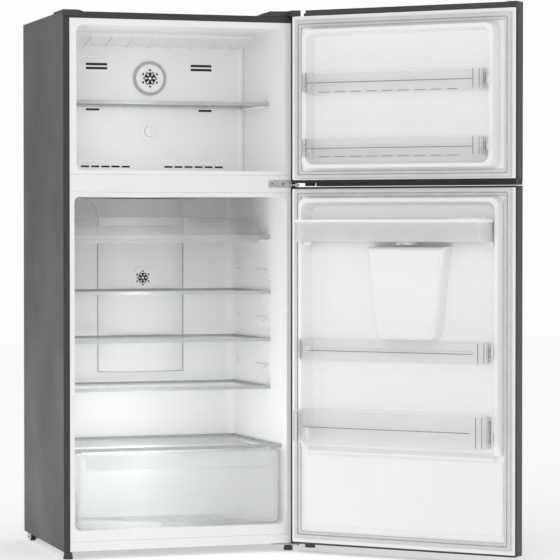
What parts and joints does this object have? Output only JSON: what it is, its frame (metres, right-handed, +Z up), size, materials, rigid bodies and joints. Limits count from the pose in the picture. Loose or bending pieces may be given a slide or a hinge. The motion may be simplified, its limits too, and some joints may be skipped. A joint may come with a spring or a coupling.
{
  "type": "top freezer refrigerator",
  "caption": "Top-freezer refrigerator with swing doors, sliding glass shelves, clear crisper drawer, chill tray, removable door bins and a tank-fed water dispenser.",
  "frame": {"origin": "centre of the bottom of the box round the refrigerator with its doors open, at floor level", "axes": "+Z up; the cabinet faces -Y; +X is to the right as seen from the front, the side the doors hinge on"},
  "size_m": [1.3148, 1.1798, 1.717],
  "materials": {
    "painted_steel": "satin",
    "zinc_steel": "satin",
    "white_plastic": "satin",
    "trim_plastic": "satin",
    "shelf_glass": "gloss",
    "clear_plastic": "gloss",
    "gasket_rubber": "matte",
    "dark_plastic": "satin",
    "black_plastic": "matte",
    "foam": "matte",
    "pump_steel": "satin",
    "coil_aluminium": "satin"
  },
  "bodies": {
    "cabinet": {"cabinet_shell": "painted_steel", "back_panel": "zinc_steel", "freezer_liner": "white_plastic", "fridge_liner": "white_plastic", "cabinet_foam": "foam", "mullion_cover": "white_plastic", "kick_plate": "white_plastic", "base_pan": "zinc_steel", "top_hinge": "zinc_steel", "top_hinge_cover": "dark_plastic", "corner_cap": "dark_plastic", "mid_hinge": "zinc_steel", "bottom_hinge": "zinc_steel", "compressor": "pump_steel", "compressor_cover": "black_plastic", "freezer_back_cover": "white_plastic", "fan_motor": "black_plastic", "evaporator": "coil_aluminium", "duct_cover": "white_plastic", "chill_shelf": "trim_plastic", "crisper_cover_glass": "shelf_glass", "crisper_cover_frame": "trim_plastic"},
    "freezer_door": {"freezer_door_skin": "painted_steel", "freezer_door_top_cap": "dark_plastic", "freezer_door_bottom_cap": "black_plastic", "freezer_door_core": "black_plastic", "freezer_door_liner": "white_plastic", "freezer_door_gasket": "gasket_rubber"},
    "fridge_door": {"fridge_door_skin": "painted_steel", "fridge_door_top_cap": "black_plastic", "fridge_door_bottom_cap": "dark_plastic", "fridge_door_core": "black_plastic", "fridge_door_liner": "white_plastic", "fridge_door_gasket": "gasket_rubber", "dispenser_recess": "black_plastic"},
    "freezer_shelf": {"freezer_shelf_glass": "shelf_glass", "freezer_shelf_frame": "trim_plastic"},
    "shelf_1": {"shelf_1_glass": "shelf_glass", "shelf_1_frame": "trim_plastic"},
    "shelf_2": {"shelf_2_glass": "shelf_glass", "shelf_2_frame": "trim_plastic"},
    "shelf_3": {"shelf_3_glass": "shelf_glass", "shelf_3_frame": "trim_plastic"},
    "water_tank": {"water_tank": "clear_plastic", "tank_lid": "white_plastic"},
    "chill_tray": {"chill_tray": "clear_plastic"},
    "crisper_drawer": {"crisper_drawer": "clear_plastic"},
    "airflow_knob": {"airflow_knob": "white_plastic"},
    "fan_rotor": {"fan_rotor": "dark_plastic"},
    "foot_left": {"foot_left": "dark_plastic"},
    "foot_right": {"foot_right": "dark_plastic"},
    "rear_roller_left": {"rear_roller_left": "black_plastic"},
    "rear_roller_right": {"rear_roller_right": "black_plastic"},
    "dispenser_lever": {"dispenser_lever": "dark_plastic"},
    "dispenser_drip_tray": {"dispenser_drip_tray": "dark_plastic"},
    "tank_flap": {"tank_flap": "white_plastic"},
    "freezer_bin_upper": {"freezer_bin_upper": "clear_plastic"},
    "freezer_bin_lower": {"freezer_bin_lower": "clear_plastic"},
    "fridge_bin_upper": {"fridge_bin_upper": "clear_plastic"},
    "fridge_bin_lower": {"fridge_bin_lower": "clear_plastic"}
  },
  "joints": [
    {"name": "freezer_door_hinge", "type": "hinge", "parent": "cabinet", "child": "freezer_door", "pos_m": [0.0947, -0.01484, 1.443], "axis": [0, 0, 1], "range_deg": [-134.8, 0]},
    {"name": "fridge_door_hinge", "type": "hinge", "parent": "cabinet", "child": "fridge_door", "pos_m": [0.0947, -0.01484, 0.593], "axis": [0, 0, 1], "range_deg": [-134.8, 0]},
    {"name": "crisper_drawer_slide", "type": "slide", "parent": "cabinet", "child": "crisper_drawer", "axis": [0, -1, 0], "range_m": [0, 0.29]},
    {"name": "chill_tray_slide", "type": "slide", "parent": "cabinet", "child": "chill_tray", "axis": [0, -1, 0], "range_m": [0, 0.22]},
    {"name": "freezer_shelf_slide", "type": "slide", "parent": "cabinet", "child": "freezer_shelf", "axis": [0, -1, 0], "range_m": [0, 0.2]},
    {"name": "shelf_1_slide", "type": "slide", "parent": "cabinet", "child": "shelf_1", "axis": [0, -1, 0], "range_m": [0, 0.2]},
    {"name": "shelf_2_slide", "type": "slide", "parent": "cabinet", "child": "shelf_2", "axis": [0, -1, 0], "range_m": [0, 0.2]},
    {"name": "shelf_3_slide", "type": "slide", "parent": "cabinet", "child": "shelf_3", "axis": [0, -1, 0], "range_m": [0, 0.2]},
    {"name": "freezer_bin_upper_lift", "type": "slide", "parent": "freezer_door", "child": "freezer_bin_upper", "axis": [0, 0, 1], "range_m": [0, 0.05]},
    {"name": "freezer_bin_lower_lift", "type": "slide", "parent": "freezer_door", "child": "freezer_bin_lower", "axis": [0, 0, 1], "range_m": [0, 0.05]},
    {"name": "fridge_bin_upper_pull", "type": "slide", "parent": "fridge_door", "child": "fridge_bin_upper", "axis": [-0.7096, -0.7046, 0], "range_m": [0, 0.06]},
    {"name": "fridge_bin_lower_lift", "type": "slide", "parent": "fridge_door", "child": "fridge_bin_lower", "axis": [0, 0, 1], "range_m": [0, 0.05]},
    {"name": "water_tank_lift", "type": "slide", "parent": "fridge_door", "child": "water_tank", "axis": [0, 0, 1], "range_m": [0, 0.03]},
    {"name": "tank_flap_hinge", "type": "hinge", "parent": "water_tank", "child": "tank_flap", "pos_m": [0.49454, -0.50931, 1.0585], "axis": [-0.7046, 0.7096, 0], "range_deg": [0, 90]},
    {"name": "dispenser_lever_hinge", "type": "hinge", "parent": "fridge_door", "child": "dispenser_lever", "pos_m": [0.36508, -0.32501, 0.906], "axis": [-0.7046, 0.7096, 0], "range_deg": [0, 8], "stiffness_Nm_per_rad": 0.15},
    {"name": "drip_tray_slide", "type": "slide", "parent": "fridge_door", "child": "dispenser_drip_tray", "axis": [0.7096, 0.7046, 0], "range_m": [0, 0.05]},
    {"name": "airflow_knob_turn", "type": "hinge", "parent": "cabinet", "child": "airflow_knob", "pos_m": [-0.2759, 0.39286, 1.344], "axis": [0, 1, 0], "range_deg": [-120, 120]},
    {"name": "roller_left_spin", "type": "hinge", "parent": "cabinet", "child": "rear_roller_left", "pos_m": [-0.6409, 0.52586, 0.011], "axis": [1, 0, 0], "continuous": true},
    {"name": "roller_right_spin", "type": "hinge", "parent": "cabinet", "child": "rear_roller_right", "pos_m": [0.0891, 0.52586, 0.011], "axis": [1, 0, 0], "continuous": true},
    {"name": "foot_left_turn", "type": "hinge", "parent": "cabinet", "child": "foot_left", "pos_m": [-0.6359, 0.03786, 0.01], "axis": [0, 0, 1], "continuous": true},
    {"name": "foot_right_turn", "type": "hinge", "parent": "cabinet", "child": "foot_right", "pos_m": [0.0841, 0.03786, 0.01], "axis": [0, 0, 1], "continuous": true},
    {"name": "fan_spin", "type": "hinge", "parent": "cabinet", "child": "fan_rotor", "pos_m": [-0.2759, 0.41986, 1.518], "axis": [0, 1, 0], "continuous": true}
  ]
}
